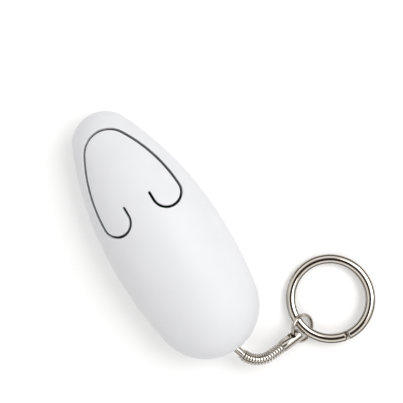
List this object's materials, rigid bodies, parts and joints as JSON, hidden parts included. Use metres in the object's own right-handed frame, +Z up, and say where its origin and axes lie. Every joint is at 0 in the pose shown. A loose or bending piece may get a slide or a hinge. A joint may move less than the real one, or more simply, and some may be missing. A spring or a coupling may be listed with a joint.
{
  "type": "laser cat toy",
  "caption": "Egg-shaped hand-held laser pet toy with a flexing press button on top, a battery door below, and a snake-chain tail that ends in a jump ring and a split key ring.",
  "frame": {"origin": "on the flat underside below the middle of the body's length", "axes": "+Y along the body to the nose, +X to the right seen from above, +Z up"},
  "size_m": [0.0595, 0.0912, 0.0253],
  "materials": {
    "white_plastic": "moulded white, soft gloss",
    "screw_steel": "zinc plated",
    "window": "clear red tinted plastic",
    "brass": "turned",
    "diode_can": "plated can",
    "lens": "polished",
    "board": "green solder mask",
    "black_plastic": "moulded black",
    "grey_plastic": "moulded dark grey",
    "cell_steel": "nickel plated",
    "contact_steel": "nickel plated strip",
    "red_sleeve": "red insulation",
    "black_sleeve": "black insulation",
    "nickel": "polished nickel plate"
  },
  "bodies": {
    "housing": {"top_shell": "white_plastic", "bottom_shell": "white_plastic", "housing_screws": "screw_steel", "nose_window": "window", "laser_barrel": "brass", "laser_diode": "diode_can", "collimator_lens": "lens", "lens_nut": "brass", "circuit_board": "board", "push_switch": "black_plastic", "driver_parts": "black_plastic", "button_cell_1": "cell_steel", "button_cell_2": "cell_steel", "button_cell_3": "cell_steel", "cell_spring": "contact_steel", "cell_contact": "contact_steel", "red_lead": "red_sleeve", "black_lead": "black_sleeve", "tail_pin": "screw_steel"},
    "button": {"press_button": "white_plastic"},
    "plunger": {"switch_plunger": "grey_plastic"},
    "door": {"battery_door": "white_plastic", "battery_door_screw": "screw_steel"},
    "ferrule": {"tail_ferrule": "nickel"},
    "link_1": {"chain_link_1": "nickel"},
    "link_2": {"chain_link_2": "nickel"},
    "link_3": {"chain_link_3": "nickel"},
    "link_4": {"chain_link_4": "nickel"},
    "link_5": {"chain_link_5": "nickel"},
    "link_6": {"chain_link_6": "nickel"},
    "link_7": {"chain_link_7": "nickel"},
    "link_8": {"chain_link_8": "nickel"},
    "link_9": {"chain_link_9": "nickel"},
    "link_10": {"chain_link_10": "nickel"},
    "link_11": {"chain_link_11": "nickel"},
    "link_12": {"chain_link_12": "nickel"},
    "link_13": {"chain_link_13": "nickel"},
    "link_14": {"chain_link_14": "nickel"},
    "link_15": {"chain_link_15": "nickel", "chain_end_cap": "nickel"},
    "jump_ring": {"jump_ring": "nickel"},
    "key_ring": {"key_ring": "nickel"}
  },
  "joints": [
    {"name": "button_press", "type": "hinge", "parent": "housing", "child": "button", "pos_m": [0, 0.0107, 0.02296], "axis": [-1, 0, 0], "range_deg": [0, 2.4], "stiffness_Nm_per_rad": 0.4},
    {"name": "plunger_travel", "type": "slide", "parent": "housing", "child": "plunger", "axis": [0, 0, -1], "range_m": [0, 0.000273]},
    {"name": "door_lift", "type": "slide", "parent": "housing", "child": "door", "axis": [0, 0, -1], "range_m": [0, 0.012]},
    {"name": "tail_swing", "type": "hinge", "parent": "housing", "child": "ferrule", "pos_m": [0, -0.0354, 0.0088], "axis": [0, 0, 1], "range_deg": [-46, 8]},
    {"name": "chain_bend", "type": "hinge", "parent": "ferrule", "child": "link_1", "pos_m": [0.00152, -0.0407, 0.00783], "axis": [0, 0, 1], "range_deg": [-10, 0.5]},
    {"name": "chain_bend_2", "type": "hinge", "parent": "link_1", "child": "link_2", "pos_m": [0.00183, -0.04143, 0.00769], "axis": [0, 0, 1], "range_deg": [-10, 0.5]},
    {"name": "chain_bend_3", "type": "hinge", "parent": "link_2", "child": "link_3", "pos_m": [0.00222, -0.04211, 0.00755], "axis": [0, 0, 1], "range_deg": [-10, 0.5]},
    {"name": "chain_bend_4", "type": "hinge", "parent": "link_3", "child": "link_4", "pos_m": [0.0027, -0.04274, 0.00741], "axis": [0, 0, 1], "range_deg": [-10, 0.5]},
    {"name": "chain_bend_5", "type": "hinge", "parent": "link_4", "child": "link_5", "pos_m": [0.00324, -0.0433, 0.00727], "axis": [0, 0, 1], "range_deg": [-10, 0.5]},
    {"name": "chain_bend_6", "type": "hinge", "parent": "link_5", "child": "link_6", "pos_m": [0.00386, -0.0438, 0.00713], "axis": [0, 0, 1], "range_deg": [-10, 0.5]},
    {"name": "chain_bend_7", "type": "hinge", "parent": "link_6", "child": "link_7", "pos_m": [0.00452, -0.04422, 0.00699], "axis": [0, 0, 1], "range_deg": [-10, 0.5]},
    {"name": "chain_bend_8", "type": "hinge", "parent": "link_7", "child": "link_8", "pos_m": [0.00524, -0.04455, 0.00686], "axis": [0, 0, 1], "range_deg": [-10, 0.5]},
    {"name": "chain_bend_9", "type": "hinge", "parent": "link_8", "child": "link_9", "pos_m": [0.00599, -0.04479, 0.00672], "axis": [0, 0, 1], "range_deg": [-10, 0.5]},
    {"name": "chain_bend_10", "type": "hinge", "parent": "link_9", "child": "link_10", "pos_m": [0.00676, -0.04494, 0.00658], "axis": [0, 0, 1], "range_deg": [-10, 0.5]},
    {"name": "chain_bend_11", "type": "hinge", "parent": "link_10", "child": "link_11", "pos_m": [0.00755, -0.045, 0.00644], "axis": [0, 0, 1], "range_deg": [-10, 0.5]},
    {"name": "chain_bend_12", "type": "hinge", "parent": "link_11", "child": "link_12", "pos_m": [0.00833, -0.04496, 0.0063], "axis": [0, 0, 1], "range_deg": [-5, 0.5]},
    {"name": "chain_bend_13", "type": "hinge", "parent": "link_12", "child": "link_13", "pos_m": [0.00912, -0.04492, 0.00616], "axis": [0, 0, 1], "range_deg": [-5, 0.5]},
    {"name": "chain_bend_14", "type": "hinge", "parent": "link_13", "child": "link_14", "pos_m": [0.00991, -0.04488, 0.00602], "axis": [0, 0, 1], "range_deg": [-5, 0.5]},
    {"name": "chain_bend_15", "type": "hinge", "parent": "link_14", "child": "link_15", "pos_m": [0.01069, -0.04483, 0.00588], "axis": [0, 0, 1], "range_deg": [-5, 0.5]},
    {"name": "jump_ring_swing", "type": "hinge", "parent": "link_15", "child": "jump_ring", "pos_m": [0.016, -0.04456, 0.00494], "axis": [0.0414, 0.8694, 0.4924], "range_deg": [-40, 10]},
    {"name": "key_ring_swing", "type": "hinge", "parent": "jump_ring", "child": "key_ring", "pos_m": [0.01935, -0.04379, 0.00332], "axis": [0.4716, -0.4515, 0.7575], "range_deg": [-30, 20]}
  ],
  "couplings": [
    {"joint": "plunger_travel", "follows": "button_press", "m_per_rad": 0.0065}
  ]
}
